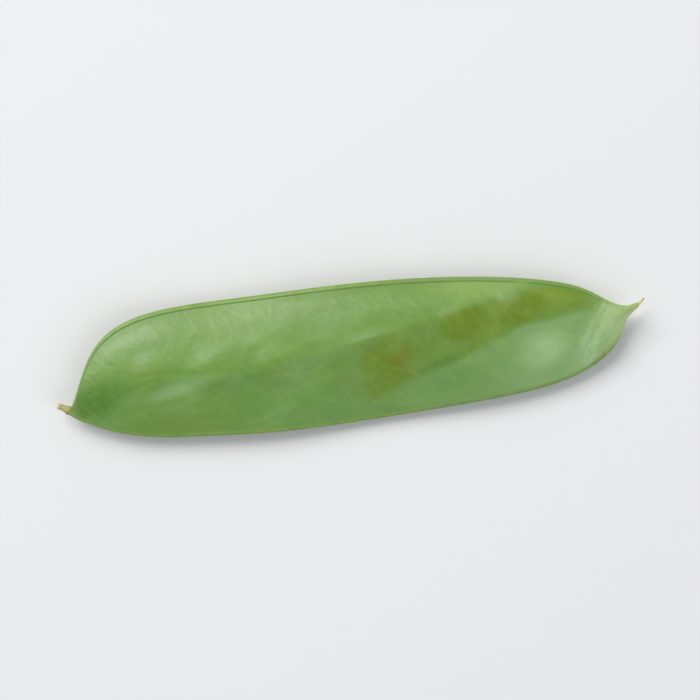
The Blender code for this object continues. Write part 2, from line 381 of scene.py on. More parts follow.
def suture_points(count):
    """Matching points on the two sutures, `count` of each, closer together towards the ends."""
    ventral = np.array(VENTRAL_SUTURE)
    dorsal = np.array(DORSAL_SUTURE)
    ventral_chords = np.linalg.norm(np.diff(ventral, axis=0), axis=1)
    dorsal_chords = np.linalg.norm(np.diff(dorsal, axis=0), axis=1)
    knots = np.concatenate([[0.0], np.cumsum((ventral_chords + dorsal_chords) / 2)])
    even = np.linspace(0, 1, count)
    bunched = (1 - np.cos(math.pi * even)) / 2
    at = (EVEN_SHARE * even + (1 - EVEN_SHARE) * bunched) * knots[-1]
    return natural_spline(knots, ventral, at), natural_spline(knots, dorsal, at)


def line_height(line, x):
    """Height y of a line along the pod at x, which is level beyond its ends."""
    knots, heights = np.array(line).T
    at = np.clip(x, knots[0], knots[-1])
    return natural_spline(knots, heights[:, None], at.ravel()).reshape(x.shape)


def seeds_beneath(x, y):
    """0 to 1: how far the seeds push up the wall at each point of the plan."""
    push = np.zeros_like(x)
    for i in range(SEED_COUNT):
        seed_x = FIRST_SEED_X + i * SEED_PITCH
        seed_y = line_height(SEED_ROW, np.array([seed_x]))[0]
        off = np.hypot(x - seed_x, y - seed_y)
        push = np.maximum(push, np.clip(1 - (off / SEED_RADIUS) ** 2, 0, 1) ** 2)
    return push


def valve_height(valve, width, rims, place, x):
    """Half thickness of the pod without its seeds, at a share `place` of the way from the dorsal rim
    to the ventral one."""
    dorsal_rim, ventral_rim = rims
    reach = np.where(place < CROWN_PLACE, CROWN_PLACE, 1 - CROWN_PLACE)
    dome = 1 - np.abs((place - CROWN_PLACE) / reach) ** valve["dome_power"]
    crown = CROWN * smooth_step(CROWN_FADES_AT, CROWN_WIDTH, width) * dome
    to_ventral = (1 - place) * width + VENTRAL_RIM_WIDTH
    valley = VALLEY_DEPTH * np.exp(-(((to_ventral - VALLEY_PLACE) / VALLEY_WIDTH) ** 2))
    uneven = 1 + VALLEY_UNEVENNESS * smooth_noise(x, 0 * x, VALLEY_UNEVENNESS_SIZE, VALLEY_RANDOM)
    valley = valley * smooth_step(*VALLEY_FADES, width) * uneven
    rim = dorsal_rim + (ventral_rim - dorsal_rim) * smooth_step(0, 1, place)
    return rim + crown - valley


def vein_lines(x, y, random):
    """The net of veins, which slants from the ventral suture to the beak: (main, fine), 0 to 1."""
    cos, sin = math.cos(VEIN_SLOPE), math.sin(VEIN_SLOPE)
    along_size, across_size = VEIN_WANDER_SIZES
    along = x * cos + y * sin + VEIN_WANDER * smooth_noise(x, y, along_size, random)
    across = y * cos - x * sin + VEIN_WANDER * smooth_noise(x, y, across_size, random + 1)

    def net(cell, random):
        return net_lines(along / cell[0], across / cell[1], VEIN_LINE_WIDTH, random)

    return net(MAIN_VEIN_CELL, random + 2), net(FINE_VEIN_CELL, random + 3)


def skin_relief(x, y, place, width, random):
    """(relief in mm, vein strength): what the skin of a valve adds to its smooth shape."""
    main, fine = vein_lines(x, y, random)
    dorsal_margin, ventral_margin = SKIN_MARGINS
    wall = smooth_step(0, dorsal_margin, place) * smooth_step(1, 1 - ventral_margin, place)
    wall = wall * smooth_step(*SKIN_FADES, width)
    veins = MAIN_VEIN_RELIEF * main + FINE_VEIN_RELIEF * fine
    swell = SWELL_RELIEF * smooth_noise(x, y, SWELL_SIZE, random + 4)
    ripple = RIPPLE_RELIEF * smooth_noise(x, y, RIPPLE_SIZE, random + 5)
    near_ends = np.maximum(smooth_step(*STEM_END_FIBRES, x), smooth_step(*BEAK_FIBRES, x))
    near_ends = near_ends * smooth_step(*FIBRE_FADES, width) * np.sin(math.pi * place)
    round_valve = FIBRE_LENGTH * FIBRE_COUNT * place
    fibres = FIBRE_RELIEF * near_ends * smooth_noise(x, round_valve, FIBRE_LENGTH, random + 6)
    tint = MAIN_VEIN_TINT * main + FINE_VEIN_TINT * fine
    return wall * (veins + swell + ripple) + fibres, wall * tint


def fold_relief(x, y, place):
    """What the fold adds to the upper valve, in mm: a full ridge that falls steeply on its dorsal
    side, a crease in it near the stem end, and a low brink along the far side of the hollow."""
    fold = y - line_height(FOLD, x)
    brink = y - line_height(HOLLOW, x)
    dorsal_margin, ventral_margin = FOLD_MARGINS
    wall = smooth_step(0, dorsal_margin, place) * smooth_step(1, 1 - ventral_margin, place)
    reach = np.where(fold > 0, FOLD_ABOVE, FOLD_BELOW)
    ridge = FOLD_RISE * between(FOLD_ENDS, x) * np.exp(-((fold / reach) ** 2))
    crease = CREASE_DEPTH * between(CREASE_ENDS, x) * np.exp(-((fold / CREASE_WIDTH) ** 2))
    low = BRINK_RISE * between(BRINK_ENDS, x) * np.exp(-((brink / BRINK_WIDTH) ** 2))
    return wall * (ridge - crease + low)


def middle_height(x, y):
    """Height of the pod's middle surface, which lifts towards both ends, twists and waves."""
    off = (x - MIDDLE_X) / HALF_LENGTH
    lift = np.where(off < 0, STEM_END_LIFT, BEAK_LIFT) * np.abs(off) ** LIFT_POWER
    wave = EDGE_WAVE * np.sin(2 * math.pi * x / EDGE_WAVE_PITCH) * y * np.abs(y) / EDGE_WAVE_REACH**2
    return lift + y * (math.tan(TWIST) * off + math.tan(LEAN)) + wave


def cosine_steps(count):
    """Steps between 0 and 1, both left out, that are closer together towards the two."""
    steps = np.arange(1, count + 1) / (count + 1)
    return (1 - np.cos(math.pi * steps)) / 2


def round_from(rings, edge):
    """Distance round each ring from its point number `edge`, in mm, less than 0 on the way back."""
    steps = np.linalg.norm(np.roll(rings, -1, axis=1) - rings, axis=2)
    reach = np.cumsum(np.roll(steps, -edge, axis=1), axis=1)
    whole = reach[:, -1:]
    reach = np.concatenate([0 * whole, reach[:, :-1]], axis=1)
    return np.roll(np.where(reach > whole / 2, reach - whole, reach), edge, axis=1)


def pod_sections(ventral, dorsal):
    """Every station's closed ring of points, (stations, ring points, 3), and the skin's attributes.
    A ring runs over the upper valve, round the ventral rim, under the lower valve and round the
    dorsal rim."""
    across = ventral - dorsal
    width = np.linalg.norm(across, axis=1)[:, None]
    direction = across[:, None, :] / width[:, :, None]
    ventral_width = np.minimum(VENTRAL_RIM_WIDTH, width * RIM_WIDTH_SHARE)
    dorsal_width = np.minimum(DORSAL_RIM_WIDTH, width * RIM_WIDTH_SHARE)
    valve_width = width - ventral_width - dorsal_width
    ventral_rim = np.minimum(VENTRAL_RIM_HALF_THICKNESS, width * RIM_HALF_THICKNESS_SHARE)
    dorsal_rim = np.minimum(DORSAL_RIM_HALF_THICKNESS, width * RIM_HALF_THICKNESS_SHARE)
    turn = np.linspace(math.pi / 2, -math.pi / 2, RIM_POINTS)[None, :]
    groove = VENTRAL_GROOVE * np.exp(-((turn / VENTRAL_GROOVE_ANGLE) ** 2))
    groove = groove * smooth_step(*GROOVE_FADES, width)

    def plan_of(out):
        """Plan points at distances `out` from the dorsal suture."""
        return dorsal[:, None, :] + direction * out[..., None]

    def valve(shape):
        place = np.broadcast_to(cosine_steps(shape["points"]), (len(width), shape["points"]))
        out = dorsal_width + place * valve_width
        x, y = np.moveaxis(plan_of(out), -1, 0)
        seed = seeds_beneath(x, y)
        height = valve_height(shape, valve_width, (dorsal_rim, ventral_rim), place, x)
        relief, vein = skin_relief(x, y, place, width, shape["random"])
        height = height + shape["seed_relief"] * seed + relief
        if shape is UPPER_VALVE:
            height = height + fold_relief(x, y, place)
        return {"out": out, "height": height, "vein": vein, "seed": seed}

    def ring(*parts):
        """One row for each station, from what its four parts hold."""
        counts = (UPPER_POINTS, RIM_POINTS, LOWER_POINTS, RIM_POINTS)
        rows = [np.broadcast_to(part, (len(width), count)) for part, count in zip(parts, counts)]
        return np.concatenate(rows, axis=1)

    upper = valve(UPPER_VALVE)
    lower = {name: values[:, ::-1] for name, values in valve(LOWER_VALVE).items()}
    ventral_out = width - ventral_width * (1 - np.cos(turn)) - groove
    dorsal_out = dorsal_width * (1 - np.cos(turn[:, ::-1]))
    out = ring(upper["out"], ventral_out, lower["out"], dorsal_out)
    ventral_height = ventral_rim * np.sin(turn)
    dorsal_height = dorsal_rim * np.sin(turn[:, ::-1])
    height = ring(upper["height"], ventral_height, -lower["height"], dorsal_height)
    plan = plan_of(out)
    x, y = plan[..., 0], plan[..., 1]
    points = np.concatenate([plan, (height + middle_height(x, y))[..., None]], axis=2)
    ventral_edge = UPPER_POINTS + RIM_POINTS // 2
    dorsal_edge = points.shape[1] - 1 - RIM_POINTS // 2
    attributes = {
        "upper": ring(1.0, 0.0, -1.0, 0.0),
        "vein": ring(upper["vein"], 0.0, lower["vein"], 0.0),
        "seed": ring(upper["seed"], 0.0, lower["seed"], 0.0),
        "to_ventral": width - out,
        "to_dorsal": out,
        "round_ventral": round_from(points, ventral_edge),
        "round_dorsal": round_from(points, dorsal_edge),
        "fold": y - line_height(FOLD, x),
        "hollow": y - line_height(HOLLOW, x),
    }
    return points, attributes


def round_ends(rings, attributes):
    """Closes both ends of the pod with small domes, as further rings that repeat the attributes."""

    def dome(end, inner):
        middle = end.mean(axis=0)
        off = end - middle
        out = middle - inner.mean(axis=0)
        out = out / np.linalg.norm(out) * np.linalg.norm(off, axis=1).mean() * DOME_BULGE
        return [middle + off * math.cos(angle) + out * math.sin(angle) for angle in DOME_ANGLES]

    repeats = np.ones(len(rings), int)
    repeats[0] += len(DOME_ANGLES)
    repeats[-1] += len(DOME_ANGLES)
    first = dome(rings[0], rings[DOME_STATIONS])[::-1]
    last = dome(rings[-1], rings[-1 - DOME_STATIONS])
    attributes = {name: np.repeat(values, repeats, axis=0) for name, values in attributes.items()}
    return np.concatenate([first, rings, last]), attributes


def end_of(ventral, dorsal, end):
    """At the pod's end 0 or -1: its middle in the plan, the way out of the pod, and its height."""
    middle = (ventral[end] + dorsal[end]) / 2
    half_way = len(ventral) // 2
    inwards = (ventral[half_way] + dorsal[half_way]) / 2 - middle
    across = ventral[end] - dorsal[end]
    normal = np.array([across[1], -across[0]])
    if normal @ inwards > 0:
        normal = -normal
    normal = normal / np.linalg.norm(normal)
    return middle, normal, float(middle_height(middle[0], middle[1]))


def stalk_rings(shape, middle, normal, height):
    """Rings of a short ribbed stalk that starts inside the pod's end and bends as it leaves it, and
    the same points in the stalk's own coordinates, x along it."""
    share = np.linspace(0, 1, shape["rings"])
    knots = np.linspace(0, 1, len(shape["radii"]))
    radius = natural_spline(knots, np.array(shape["radii"])[:, None], share)
    heading = math.atan2(normal[1], normal[0]) + shape["bend"] * share
    step = shape["length"] / (shape["rings"] - 1)
    start = middle - normal * shape["inset"]
    path = start + np.cumsum(np.stack([np.cos(heading), np.sin(heading)], axis=1) * step, axis=0)
    side = np.stack([-np.sin(heading), np.cos(heading)], axis=1)

    share = share[:, None]
    angle = np.linspace(0, 2 * math.pi, shape["points"], endpoint=False)[None, :]
    noise_x, noise_y = STALK_NOISE_LENGTH * share + 0 * angle, STALK_NOISE_ROUND * angle
    wander = smooth_noise(noise_x, noise_y, STALK_NOISE_SIZE, shape["random"])
    ribs = np.sin(shape["rib_count"] * angle + STALK_TWIST * share + wander)
    radius = radius * (1 + shape["rib_depth"] * ribs + STALK_LUMPS * wander)
    out, up = radius * np.cos(angle), radius * np.sin(angle)
    plan = path[:, None, :] + side[:, None, :] * out[..., None]
    rings = np.concatenate([plan, (height + up * shape["flatness"])[..., None]], axis=2)
    along = np.broadcast_to(share * shape["length"], radius.shape)
    return rings, np.stack([along, out, up], axis=2)


def snap_end(rings, local):
    """Frays the last rings of a snapped stalk: fibres end at uneven lengths round a hollow. The added
    rings repeat the last ring's own coordinates."""
    count, around = rings.shape[:2]
    heading = rings[-1].mean(axis=0) - rings[-1 - SNAP_HEADING_RINGS].mean(axis=0)
    heading = heading / np.linalg.norm(heading)
    angle = np.linspace(0, 2 * math.pi, around, endpoint=False)

    def uneven(share, waves, random):
        return share * smooth_noise(waves * np.cos(angle), waves * np.sin(angle), 1.0, random)

    ragged = SNAP_DEPTH * (uneven(*SNAP_COARSE, SNAP_RANDOM) + uneven(*SNAP_FINE, SNAP_RANDOM + 1))
    reach = smooth_step(SNAP_STARTS, 1, np.linspace(0, 1, count))
    rings = rings + reach[:, None, None] * ragged[None, :, None] * heading
    middle = rings[-1].mean(axis=0)
    inner = []
    for share in SNAP_HOLLOW_RINGS:
        hollow = (1 - share) * SNAP_DEPTH * SNAP_HOLLOW
        inner.append(middle + (rings[-1] - middle) * share - heading * hollow)
    local = np.concatenate([local, np.repeat(local[-1:], len(inner), axis=0)])
    return np.concatenate([rings, inner]), local


def store(mesh, name, values):
    """Writes one value or one vector for each point as an attribute that materials can read."""
    if values.size == 3 * len(mesh.vertices):
        layer = mesh.attributes.new(name, "FLOAT_VECTOR", "POINT")
        layer.data.foreach_set("vector", values.astype(np.float32).ravel())
    else:
        layer = mesh.attributes.new(name, "FLOAT", "POINT")
        layer.data.foreach_set("value", values.astype(np.float32).ravel())


def skin_mesh(name, rings, skin, shift, attributes):
    """A closed body through rings of points in pod coordinates, moved by shift. One face closes each
    end, across its last ring."""
    count, around = rings.shape[:2]
    mesh = bpy.data.meshes.new(name)
    index = np.arange(count * around).reshape(count, around)
    following = np.roll(index, -1, axis=1)
    quads = np.stack([index[:-1], following[:-1], following[1:], index[1:]], axis=-1).reshape(-1, 4)
    caps = [index[0].tolist()[::-1], index[-1].tolist()]
    points = (rings.reshape(-1, 3) + shift) * MM
    mesh.from_pydata(points.tolist(), [], quads.tolist() + caps)
    for key, values in attributes.items():
        store(mesh, key, values)
    shape = bmesh.new()
    shape.from_mesh(mesh)
    bmesh.ops.recalc_face_normals(shape, faces=shape.faces)
    shape.to_mesh(mesh)
    shape.free()
    mesh.shade_smooth()
    mesh.materials.append(skin)
    obj = bpy.data.objects.new(name, mesh)
    bpy.context.collection.objects.link(obj)
    return obj


class Nodes:
    """Builds one node material: each method adds a node and returns the socket to use next."""

    def __init__(self, name):
        self.material = bpy.data.materials.new(name)
        self.material.use_nodes = True
        self.tree = self.material.node_tree
        self.shader = self.tree.nodes["Principled BSDF"]

    def put(self, socket, value):
        """Links a socket to another one, or sets its number or colour."""
        if isinstance(value, bpy.types.NodeSocket):
            self.tree.links.new(value, socket)
        elif isinstance(value, tuple) and len(value) == 3 and socket.type == "RGBA":
            socket.default_value = (*value, 1.0)
        else:
            socket.default_value = value

    def set(self, **values):
        """Puts values into the shader's inputs, whose names have _ for each space."""
        for name, value in values.items():
            self.put(self.shader.inputs[name.replace("_", " ")], value)

    def attribute(self, name, output="Fac"):
        node = self.tree.nodes.new("ShaderNodeAttribute")
        node.attribute_name = name
        return node.outputs[output]

    def math(self, operation, first, second=0.0):
        node = self.tree.nodes.new("ShaderNodeMath")
        node.operation = operation
        self.put(node.inputs[0], first)
        self.put(node.inputs[1], second)
        return node.outputs[0]

    def chain(self, operation, values):
        result = values[0]
        for value in values[1:]:
            result = self.math(operation, result, value)
        return result

    def multiply(self, *values):
        return self.chain("MULTIPLY", values)

    def add(self, *values):
        return self.chain("ADD", values)

    def largest(self, *values):
        return self.chain("MAXIMUM", values)

    def rest(self, share):
        """What is left of 1 without the share."""
        return self.math("SUBTRACT", 1.0, share)

    def span(self, value, low, high, to_low=0.0, to_high=1.0):
        """Maps low..high smoothly to to_low..to_high, and holds it outside."""
        node = self.tree.nodes.new("ShaderNodeMapRange")
        node.interpolation_type = "SMOOTHSTEP"
        for socket, number in zip(node.inputs, (value, low, high, to_low, to_high)):
            self.put(socket, number)
        return node.outputs[0]

    def between(self, ends, value):
        """0 outside the first and the last of four values, 1 between the inner two."""
        start, full, fade, end = ends
        return self.multiply(self.span(value, start, full), self.span(value, end, fade))

    def mix(self, share, first, second):
        node = self.tree.nodes.new("ShaderNodeMix")
        node.data_type = "RGBA"
        self.put(node.inputs[0], share)
        self.put(node.inputs[6], first)
        self.put(node.inputs[7], second)
        return node.outputs[2]

    def split(self, vector):
        """The x, y and z of a vector."""
        node = self.tree.nodes.new("ShaderNodeSeparateXYZ")
        self.put(node.inputs[0], vector)
        return node.outputs[0], node.outputs[1], node.outputs[2]

    def join(self, x, y):
        node = self.tree.nodes.new("ShaderNodeCombineXYZ")
        self.put(node.inputs[0], x)
        self.put(node.inputs[1], y)
        return node.outputs[0]

    def shift(self, vector, amount):
        """Moves a vector by the same amount along all its axes."""
        node = self.tree.nodes.new("ShaderNodeVectorMath")
        node.operation = "ADD"
        self.put(node.inputs[0], vector)
        self.put(node.inputs[1], amount)
        return node.outputs[0]

    def length(self, vector):
        node = self.tree.nodes.new("ShaderNodeVectorMath")
        node.operation = "LENGTH"
        self.put(node.inputs[0], vector)
        return node.outputs["Value"]

    def into_units(self, vector, scale, degrees, origin=(0.0, 0.0, 0.0)):
        """A vector in units of `scale` along axes turned by degrees in the plan, from an origin."""
        node = self.tree.nodes.new("ShaderNodeMapping")
        node.vector_type = "TEXTURE"
        self.put(node.inputs["Vector"], vector)
        node.inputs["Location"].default_value = origin
        node.inputs["Rotation"].default_value = (0, 0, math.radians(degrees))
        node.inputs["Scale"].default_value = scale
        return node.outputs[0]

    def stretch(self, vector, length, degrees=0.0):
        """Makes what is read from the vector `length` times longer in a direction of the plan."""
        return self.into_units(vector, (length, 1, 1), degrees)

    def spot(self, vector, mark):
        """The mark's strength at the middle of its ellipse, falling smoothly to 0 at its edge."""
        strength, middle_x, middle_y, half_length, half_width, slope = mark
        far_beyond_the_pod = 1000
        scale = (half_length, half_width, far_beyond_the_pod)
        off = self.into_units(vector, scale, slope, (middle_x, middle_y, 0))
        return self.span(self.length(off), 0, 1, strength, 0)

    def noise(self, vector, size, detail, roughness=0.55, distortion=0.0):
        """Noise over cells of `size`, in the units of the vector."""
        node = self.tree.nodes.new("ShaderNodeTexNoise")
        self.put(node.inputs["Vector"], vector)
        node.inputs["Scale"].default_value = 1 / size
        node.inputs["Detail"].default_value = detail
        node.inputs["Roughness"].default_value = roughness
        node.inputs["Distortion"].default_value = distortion
        return node.outputs["Fac"]

    def cells(self, vector, size, output):
        node = self.tree.nodes.new("ShaderNodeTexVoronoi")
        self.put(node.inputs["Vector"], vector)
        node.inputs["Scale"].default_value = 1 / size
        return node.outputs[output]

    def bump(self, height, distance, strength):
        node = self.tree.nodes.new("ShaderNodeBump")
        self.put(node.inputs["Height"], height)
        node.inputs["Distance"].default_value = distance
        node.inputs["Strength"].default_value = strength
        return node.outputs[0]


def colour(red, green, blue):
    """A display colour, 0 to 1, as the linear colour that shaders take."""
    return tuple(c / 12.92 if c <= 0.04045 else ((c + 0.055) / 1.055) ** 2.4 for c in (red, green, blue))


# Colours of the skin, and below them those of the two dry remnants.
# One green, in painted light above the fold and in painted shade beneath it.
LEAF = colour(0.43, 0.585, 0.25)
SHADED = colour(0.40, 0.565, 0.26)
# Deep green, also laid as painted shade on the shoulder, beside the facet, along the hollow's edge and
# in the groove.
DEEP = colour(0.29, 0.47, 0.14)
# Painted light on the crest of the fold.
PAINTED_CREST_LIGHT = colour(0.58, 0.69, 0.34)
OLIVE = colour(0.425, 0.525, 0.08)
# Darker olive of the painted seed shadows.
SEED_SHADOW_OLIVE = colour(0.395, 0.495, 0.03)
GOLDEN = colour(0.52, 0.61, 0.12)
BLOOM = colour(0.61, 0.745, 0.52)
# Painted highlight on the facet by the beak.
PAINTED_FACET_HIGHLIGHT = colour(0.67, 0.79, 0.57)
RIB = colour(0.53, 0.64, 0.27)
DULL = colour(0.49, 0.57, 0.34)
PALE = colour(0.68, 0.76, 0.50)
RUST = colour(0.50, 0.36, 0.14)

BUD = colour(0.55, 0.62, 0.34)
BARK = colour(0.69, 0.66, 0.44)
CREAM = colour(0.86, 0.82, 0.66)
STRAW = colour(0.82, 0.78, 0.57)
CHAR = colour(0.42, 0.29, 0.16)


class PodSkin(Nodes):
    """The pod's waxy skin. Each lay_ method paints its layers over those before them. Places, sizes
    and distances are in mm, and shares run from 0 to 1."""

    def __init__(self):
        super().__init__("pod_skin")
        # Everything starts in the green of the painted shade.
        self.colour = SHADED
        self.here = self.attribute("pod_mm", "Vector")
        self.x, self.y, _ = self.split(self.here)
        self.upper = self.span(self.attribute("upper"), -0.2, 0.2)
        waves = self.noise(self.stretch(self.here, 2.0), size=3.0, detail=3, roughness=0.5)
        self.waver = self.math("SUBTRACT", waves, 0.5)
        self.fold = self.add(self.attribute("fold"), self.multiply(self.waver, FOLD_WAVER))
        self.hollow = self.add(self.attribute("hollow"), self.multiply(self.waver, HOLLOW_WAVER))
        self.to_ventral = self.attribute("to_ventral")
        self.to_dorsal = self.attribute("to_dorsal")

    def paint(self, share, over):
        self.colour = self.mix(share, self.colour, over)

    def lay_wall(self):
        """Painted light above the fold, where the wall is full, and painted shade beneath it, painted
        shade and light on the shoulder, and dark at the stem end.
        """
        # Painted light over the shaded green, above the fold.
        above_fold = self.span(self.fold, -1.6, 0.9)
        self.paint(self.multiply(above_fold, self.upper), LEAF)
        along = self.stretch(self.here, 2.2)
        broad = self.noise(along, size=8.0, detail=3, roughness=0.5, distortion=0.3)
        self.paint(self.span(broad, 0.4, 0.7, 0, 0.35), SHADED)
        self.patchy = self.noise(self.stretch(self.here, 2.0, -30), size=2.6, detail=4, roughness=0.6)
        self.paint(self.span(self.patchy, 0.42, 0.7, 0, 0.22), RIB)
        self.paint(self.span(self.x, 26, 8, 0, 0.3), SHADED)
        self.paint(self.math("MINIMUM", self.spot(self.here, DARK_STEM_END), 0.85), DEEP)
        below_fold = self.span(self.fold, -1.8, -3.8)
        near_stem = self.between(OLIVE_STEM_END, self.x)
        self.paint(self.multiply(below_fold, near_stem, self.upper, 0.3), OLIVE)
        # Painted shade on the shoulder, against the key light's sheen.
        self.paint(self.multiply(self.spot(self.here, PAINTED_SHADE_SHOULDER), self.upper), DEEP)
        # Painted light on the crest of the fold at the shoulder.
        crest = self.multiply(self.span(self.fold, -0.4, 1.2), self.upper)
        self.paint(self.multiply(self.spot(self.here, PAINTED_LIGHT_SHOULDER), crest), PAINTED_CREST_LIGHT)

    def lay_seeds(self):
        """Olive in the hollow beneath the fold, where the wall is thin over the seeds, deepened there by
        painted shade and painted seed shadows, with a painted shadow along its lower edge.
        """
        band = self.multiply(self.span(self.fold, 0.35, -0.6), self.span(self.hollow, -0.8, 0.7))
        band = self.multiply(band, self.upper, self.between(OLIVE_BAND, self.x))
        uneven = self.noise(self.stretch(self.here, 2.0), size=4.0, detail=3, roughness=0.5)
        self.band = self.multiply(band, self.span(uneven, 0.25, 0.6, 0.8, 1.0))
        warped = self.shift(self.here, self.multiply(self.waver, SEED_WAVER))
        over_seed = self.largest(*[self.spot(warped, mark) for mark in SEED_SHADOWS])
        over_seed = self.span(over_seed, 0.0, 0.9)
        olive = self.add(self.span(self.x, 56, 65, 0.35, 0.6), self.multiply(over_seed, 0.3))
        # The hollow's olive tone, deepened there as painted shade.
        self.paint(self.multiply(self.band, olive), OLIVE)
        # Painted seed shadows in darker olive.
        self.paint(self.multiply(self.band, over_seed, 0.8), SEED_SHADOW_OLIVE)
        self.paint(self.multiply(self.spot(self.here, GOLDEN_END), self.band), GOLDEN)
        raised = self.span(self.attribute("seed"), 0.1, 0.7)
        self.paint(self.multiply(raised, self.span(self.x, 50, 38), 0.18), OLIVE)
        # Painted shadow along the lower edge of the hollow.
        self.paint(self.multiply(self.spot(self.here, PAINTED_SHADOW_WEDGE), self.upper), DEEP)

    def lay_wax_and_painted_light(self):
        """Paler wax in random patches, beneath the hollow and in a pale patch, painted highlights by the
        crease, on the fold's edge and on a facet by the beak, and painted shade beside it.
        """
        slant = self.add(self.x, self.multiply(self.y, FACET_SLANT))
        slant = self.add(slant, self.multiply(self.waver, FACET_WAVER))
        beneath = self.multiply(self.span(self.hollow, 0.5, -0.5), self.upper)
        # Painted shade beside the facet.
        self.paint(self.multiply(self.between(FACET_SHADE, slant), beneath, 0.25), DEEP)
        # Painted highlight on the facet, in streaks.
        facet = self.multiply(self.between(FACET, slant), self.span(self.x, 75, 81))
        streaks = self.noise(self.stretch(self.here, 5.0, 50), size=0.9, detail=3, roughness=0.6)
        facet = self.multiply(facet, self.upper, self.span(streaks, 0.35, 0.65, 0.5, 1.0))
        beneath = self.multiply(self.span(self.hollow, 0.4, -1.2), self.span(self.x, 47, 60))
        beneath = self.multiply(beneath, self.upper, self.span(self.x, 64, 74, 0.2, 0.42))
        # A pale patch, and painted highlights by the crease and on the fold's edge.
        patches = [self.spot(self.here, mark) for mark in PALE_PATCH_AND_PAINTED_HIGHLIGHTS]
        rubbed = self.noise(self.stretch(self.here, 3.0, 8), size=4.5, detail=4, distortion=0.3)
        pale = self.multiply(self.largest(facet, beneath, *patches), self.upper)
        pale = self.multiply(pale, self.span(rubbed, 0.3, 0.6, 0.65, 1.0))
        bloom_and_painted_highlights = self.largest(self.span(rubbed, 0.5, 0.75, 0, 0.2), pale)
        bloom_and_painted_highlights = self.multiply(bloom_and_painted_highlights, self.rest(self.multiply(self.band, 0.85)))
        self.bloom_and_painted_highlights = self.multiply(bloom_and_painted_highlights, self.rest(self.spot(self.here, UNRUBBED_PATCH)))
        self.paint(self.bloom_and_painted_highlights, BLOOM)
        # More painted highlight on the facet, paler still.
        self.paint(self.multiply(facet, self.span(rubbed, 0.3, 0.6, 0.3, 0.5)), PAINTED_FACET_HIGHLIGHT)

    def lay_veins_and_tissue(self):
        """The net of veins, pale flecks and the fine grain of the tissue, which slants with them."""
        self.paint(self.multiply(self.attribute("vein"), 0.2), RIB)
        fleck = self.cells(self.here, 0.42, "Distance")
        self.paint(self.span(fleck, 0.28, 0.1, 0, 0.12), BLOOM)
        self.tissue = self.noise(self.stretch(self.here, 4.0, -52), size=0.28, detail=3, roughness=0.65)
        self.paint(self.span(self.tissue, 0.3, 0.5, 0.16, 0), DEEP)
        self.paint(self.span(self.tissue, 0.5, 0.7, 0, 0.12), RIB)

    def lay_rims(self):
        """Pale stringy ribs along both sutures, duller along the middle, with painted shade in the
        groove.
        """
        by_ventral = self.math("LESS_THAN", self.to_ventral, self.to_dorsal)
        round_ventral, round_dorsal = self.attribute("round_ventral"), self.attribute("round_dorsal")
        round_rim = self.span(by_ventral, 0, 1, round_dorsal, round_ventral)
        strings = self.join(self.multiply(self.x, 0.1), round_rim)
        self.strand = self.noise(strings, size=0.22, detail=3, roughness=0.6)
        ventral_rib = self.span(self.to_ventral, 1.0, 0.3)
        dorsal_rib = self.span(self.to_dorsal, 0.7, 0.2)
        self.ribs = self.largest(ventral_rib, dorsal_rib)
        rib_colour = self.mix(self.multiply(self.between(DULL_RIMS, self.x), 0.65), RIB, DULL)
        self.paint(self.multiply(self.ribs, self.span(self.strand, 0.3, 0.65, 0.25, 0.9)), rib_colour)
        self.paint(self.multiply(self.ribs, self.span(self.strand, 0.5, 0.3, 0, 0.35)), DEEP)
        # Painted shade in the groove of the ventral rim.
        groove = self.span(self.math("ABSOLUTE", round_ventral), 0.3, 0.08)
        self.paint(self.multiply(groove, self.span(self.strand, 0.3, 0.6, 0.5, 0.9)), DEEP)

    def lay_ends(self):
        """A pale streaky beak and a neck that turns to the stalk's colour."""
        streak = self.noise(self.stretch(self.here, 8.0, 52), size=0.7, detail=3, roughness=0.6)
        beak = self.multiply(self.span(self.x, 80.5, 87), self.span(streak, 0.35, 0.6, 0.45, 1.0))
        self.paint(self.multiply(beak, 0.85), PALE)
        self.paint(self.span(self.x, 3.4, 1.3, 0, 0.75), BUD)

    def lay_rust(self):
        """A rusty spot on the wall, a rusty stretch of the rim by the beak, and a few specks."""
        worn = self.span(self.noise(self.here, size=1.4, detail=3), 0.3, 0.65)
        self.paint(self.multiply(self.spot(self.here, RUSTY_SPOT), worn, self.upper), RUST)
        rim = self.multiply(self.span(self.to_dorsal, 1.3, 0.4), self.between(RUSTY_RIM, self.x))
        worn = self.span(self.noise(self.here, size=0.8, detail=2), 0.35, 0.6, 0.2, 1.0)
        self.paint(self.multiply(rim, worn, 0.5), RUST)
        chosen = self.span(self.cells(self.here, 3.6, "Color"), 0.72, 0.76, 0, 0.3)
        speck = self.span(self.cells(self.here, 3.6, "Distance"), 0.08, 0.04)
        self.paint(self.multiply(speck, chosen), RUST)

    def set_surface(self):
        """Gives the shader its colour, its gloss and its fine relief."""
        grain = self.noise(self.here, size=0.22, detail=2, roughness=0.6)
        pits = self.noise(self.here, size=0.9, detail=3, roughness=0.6)
        relief = self.add(self.multiply(grain, 0.25), self.multiply(self.tissue, 0.45))
        relief = self.add(relief, self.multiply(pits, 0.5), self.multiply(self.ribs, self.strand, 0.8))
        gloss = self.span(self.patchy, 0.3, 0.7, 0.32, 0.42)
        self.set(
            Base_Color=self.colour,
            Roughness=self.add(gloss, self.multiply(self.bloom_and_painted_highlights, 0.2), self.multiply(self.ribs, 0.08)),
            Normal=self.bump(relief, SKIN_BUMP * MM, 0.7),
            Specular_IOR_Level=0.5,
            Subsurface_Weight=0.15,
            Subsurface_Radius=(0.35, 1.0, 0.2),
            Subsurface_Scale=LIGHT_DEPTH * MM,
            Coat_Weight=0.06,
            Coat_Roughness=0.3,
        )


